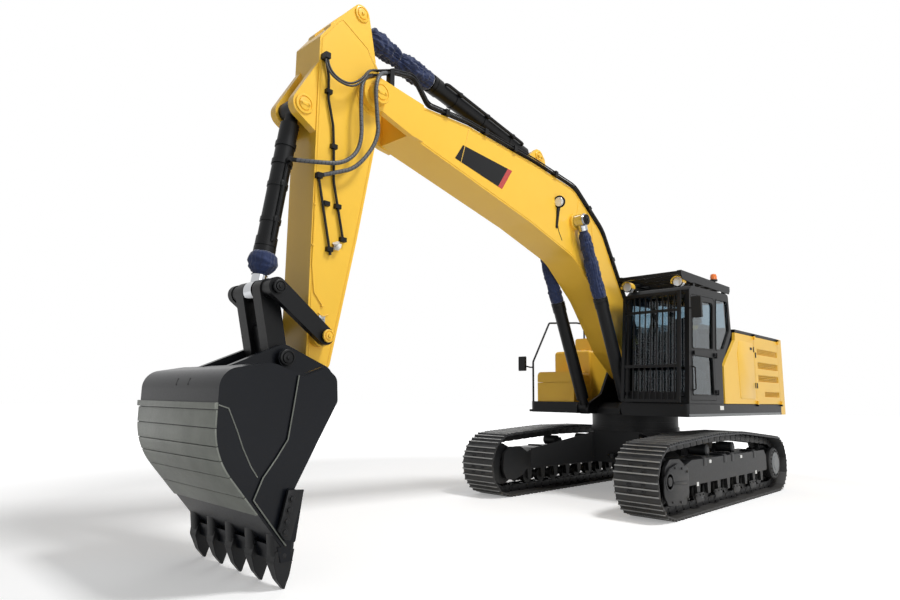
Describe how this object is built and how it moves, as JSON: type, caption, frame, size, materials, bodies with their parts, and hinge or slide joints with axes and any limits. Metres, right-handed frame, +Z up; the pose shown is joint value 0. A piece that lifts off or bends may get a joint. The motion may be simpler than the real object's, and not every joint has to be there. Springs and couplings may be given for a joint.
{
  "type": "crawler excavator",
  "caption": "Crawler excavator with fixed track loops, a swinging upper house and cab, hinged boom, arm and bucket, and cylinders that follow them.",
  "frame": {"origin": "middle of the whole machine's footprint on the ground, at rest", "axes": "+X ahead along the boom, +Y to the machine's left (cab side), +Z up"},
  "size_m": [11.175, 3.38, 5.635],
  "materials": {
    "yellow_paint": "gloss",
    "black_paint": "satin",
    "grey_paint": "satin",
    "track_steel": "worn",
    "bucket_paint": "satin",
    "tooth_steel": "cast",
    "chrome_rod": "polished",
    "tinted_glass": "clear",
    "black_plastic": "moulded",
    "seat_cloth": "woven",
    "amber_lens": "translucent",
    "lamp_body": "clear lens",
    "engine_paint": "satin",
    "navy_cloth": "woven cloth",
    "hose_rubber": "spiral guard"
  },
  "bodies": {
    "undercarriage": {"track_left": "track_steel", "track_right": "track_steel", "idlers": "black_paint", "final_drives": "grey_paint", "track_rollers": "black_paint", "carrier_rollers": "black_paint", "track_frame_left": "grey_paint", "track_frame_right": "grey_paint", "centre_frame": "black_paint", "swing_bearing": "black_paint", "tow_eyes": "black_paint"},
    "house": {"main_deck": "black_paint", "counterweight": "yellow_paint", "lifting_eyes": "yellow_paint", "engine_bay": "black_paint", "engine": "engine_paint", "cooling_pack": "black_paint", "fuel_tank": "yellow_paint", "hydraulic_tank": "yellow_paint", "toolbox": "yellow_paint", "cab_shell": "black_paint", "cab_glass": "tinted_glass", "roof_guard": "black_paint", "front_guard": "black_paint", "seat": "seat_cloth", "cab_controls": "black_plastic", "cab_lamps": "lamp_body", "beacon": "amber_lens", "handrails": "black_paint", "mirrors": "black_plastic"},
    "toolbox_lid": {"toolbox_lid": "yellow_paint"},
    "left_front_door": {"left_front_door": "yellow_paint"},
    "left_rear_door": {"left_rear_door": "yellow_paint"},
    "right_rear_door": {"right_rear_door": "yellow_paint"},
    "hood": {"engine_hood": "black_plastic"},
    "cab_door": {"cab_door": "black_paint", "door_glass": "tinted_glass"},
    "boom": {"boom": "yellow_paint", "boom_pipes": "yellow_paint", "bucket_hose_front": "hose_rubber", "bucket_hose_rear": "hose_rubber", "arm_hose_upper": "hose_rubber", "arm_hose_lower": "hose_rubber"},
    "boom_barrels": {"boom_cylinder_barrels": "black_paint", "boom_rod_covers": "navy_cloth"},
    "boom_rods": {"boom_cylinder_rods": "chrome_rod"},
    "arm": {"arm": "yellow_paint", "arm_pipes": "yellow_paint"},
    "arm_barrel": {"arm_cylinder_barrel": "black_paint", "arm_rod_cover": "navy_cloth"},
    "arm_rod": {"arm_cylinder_rod": "chrome_rod"},
    "bucket": {"bucket": "bucket_paint", "bucket_teeth": "tooth_steel"},
    "bucket_barrel": {"bucket_cylinder_barrel": "black_paint", "bucket_rod_cover": "navy_cloth"},
    "bucket_rod": {"bucket_cylinder_rod": "chrome_rod"},
    "rocker": {"rocker_arms": "black_paint"},
    "link": {"bucket_link": "black_paint"}
  },
  "joints": [
    {"name": "swing", "type": "hinge", "parent": "undercarriage", "child": "house", "pos_m": [-2.1375, 0, 1.2], "axis": [0, 0, 1], "continuous": true},
    {"name": "boom_lift", "type": "hinge", "parent": "house", "child": "boom", "pos_m": [-2.0175, 0, 1.95], "axis": [0, -1, 0], "range_deg": [-67, 33]},
    {"name": "boom_cylinder_tilt", "type": "hinge", "parent": "house", "child": "boom_barrels", "pos_m": [-1.2075, 0, 1.36], "axis": [0, -1, 0], "range_deg": [-75, 40]},
    {"name": "boom_cylinder_stroke", "type": "slide", "parent": "boom_barrels", "child": "boom_rods", "axis": [0.412, 0, 0.9112], "range_m": [-1.1, 0.6], "deforming": ["boom_rod_covers"]},
    {"name": "arm_swing", "type": "hinge", "parent": "boom", "child": "arm", "pos_m": [3.8425, 0, 4.64], "axis": [0, 1, 0], "range_deg": [-56, 55], "deforming": ["bucket_hose_front", "bucket_hose_rear", "arm_hose_upper", "arm_hose_lower"]},
    {"name": "arm_cylinder_tilt", "type": "hinge", "parent": "boom", "child": "arm_barrel", "pos_m": [0.7625, 0, 4.9], "axis": [0, -1, 0], "range_deg": [-12, 12]},
    {"name": "arm_cylinder_stroke", "type": "slide", "parent": "arm_barrel", "child": "arm_rod", "axis": [0.9817, 0, 0.1903], "range_m": [-0.85, 0.85], "deforming": ["arm_rod_cover"]},
    {"name": "bucket_curl", "type": "hinge", "parent": "arm", "child": "bucket", "pos_m": [4.3975, 0, 1.63], "axis": [0, -1, 0], "range_deg": [-150, 10]},
    {"name": "bucket_cylinder_tilt", "type": "hinge", "parent": "arm", "child": "bucket_barrel", "pos_m": [4.6625, 0, 4.27], "axis": [0, 1, 0], "range_deg": [-12, 12]},
    {"name": "bucket_cylinder_stroke", "type": "slide", "parent": "bucket_barrel", "child": "bucket_rod", "axis": [0.1444, 0, -0.9895], "range_m": [-0.2, 1.2], "deforming": ["bucket_rod_cover"]},
    {"name": "rocker_turn", "type": "hinge", "parent": "arm", "child": "rocker", "pos_m": [4.4025, 0, 2.03], "axis": [0, 1, 0], "range_deg": [-20, 120]},
    {"name": "link_turn", "type": "hinge", "parent": "rocker", "child": "link", "pos_m": [4.9325, 0, 2.42], "axis": [0, -1, 0], "range_deg": [-20, 90]},
    {"name": "cab_door_swing", "type": "hinge", "parent": "house", "child": "cab_door", "pos_m": [-1.8755, 1.51, 2.2], "axis": [0, 0, 1], "range_deg": [0, 160]},
    {"name": "left_front_door_swing", "type": "hinge", "parent": "house", "child": "left_front_door", "pos_m": [-3.5775, 1.51, 2], "axis": [0, 0, 1], "range_deg": [0, 110]},
    {"name": "left_rear_door_swing", "type": "hinge", "parent": "house", "child": "left_rear_door", "pos_m": [-4.8425, 1.51, 2], "axis": [0, 0, 1], "range_deg": [0, 110]},
    {"name": "right_rear_door_swing", "type": "hinge", "parent": "house", "child": "right_rear_door", "pos_m": [-4.8425, -1.51, 2], "axis": [0, 0, -1], "range_deg": [0, 110]},
    {"name": "hood_lift", "type": "hinge", "parent": "house", "child": "hood", "pos_m": [-2.9875, 0, 2.65], "axis": [0, 1, 0], "range_deg": [0, 75]},
    {"name": "toolbox_lid_lift", "type": "hinge", "parent": "house", "child": "toolbox_lid", "pos_m": [-1.7655, 0, 1.962], "axis": [0, -1, 0], "range_deg": [0, 75]}
  ],
  "couplings": [
    {"joint": "boom_cylinder_tilt", "follows": "boom_lift", "ratio": 1.0327},
    {"joint": "boom_cylinder_stroke", "follows": "boom_lift", "m_per_rad": 0.8651},
    {"joint": "arm_cylinder_tilt", "follows": "arm_swing", "ratio": -0.0921},
    {"joint": "arm_cylinder_stroke", "follows": "arm_swing", "m_per_rad": 0.7751},
    {"joint": "bucket_cylinder_tilt", "follows": "bucket_curl", "ratio": -0.0293},
    {"joint": "bucket_cylinder_stroke", "follows": "bucket_curl", "m_per_rad": -0.395},
    {"joint": "rocker_turn", "follows": "bucket_curl", "ratio": -0.6733},
    {"joint": "link_turn", "follows": "bucket_curl", "ratio": -0.318}
  ]
}
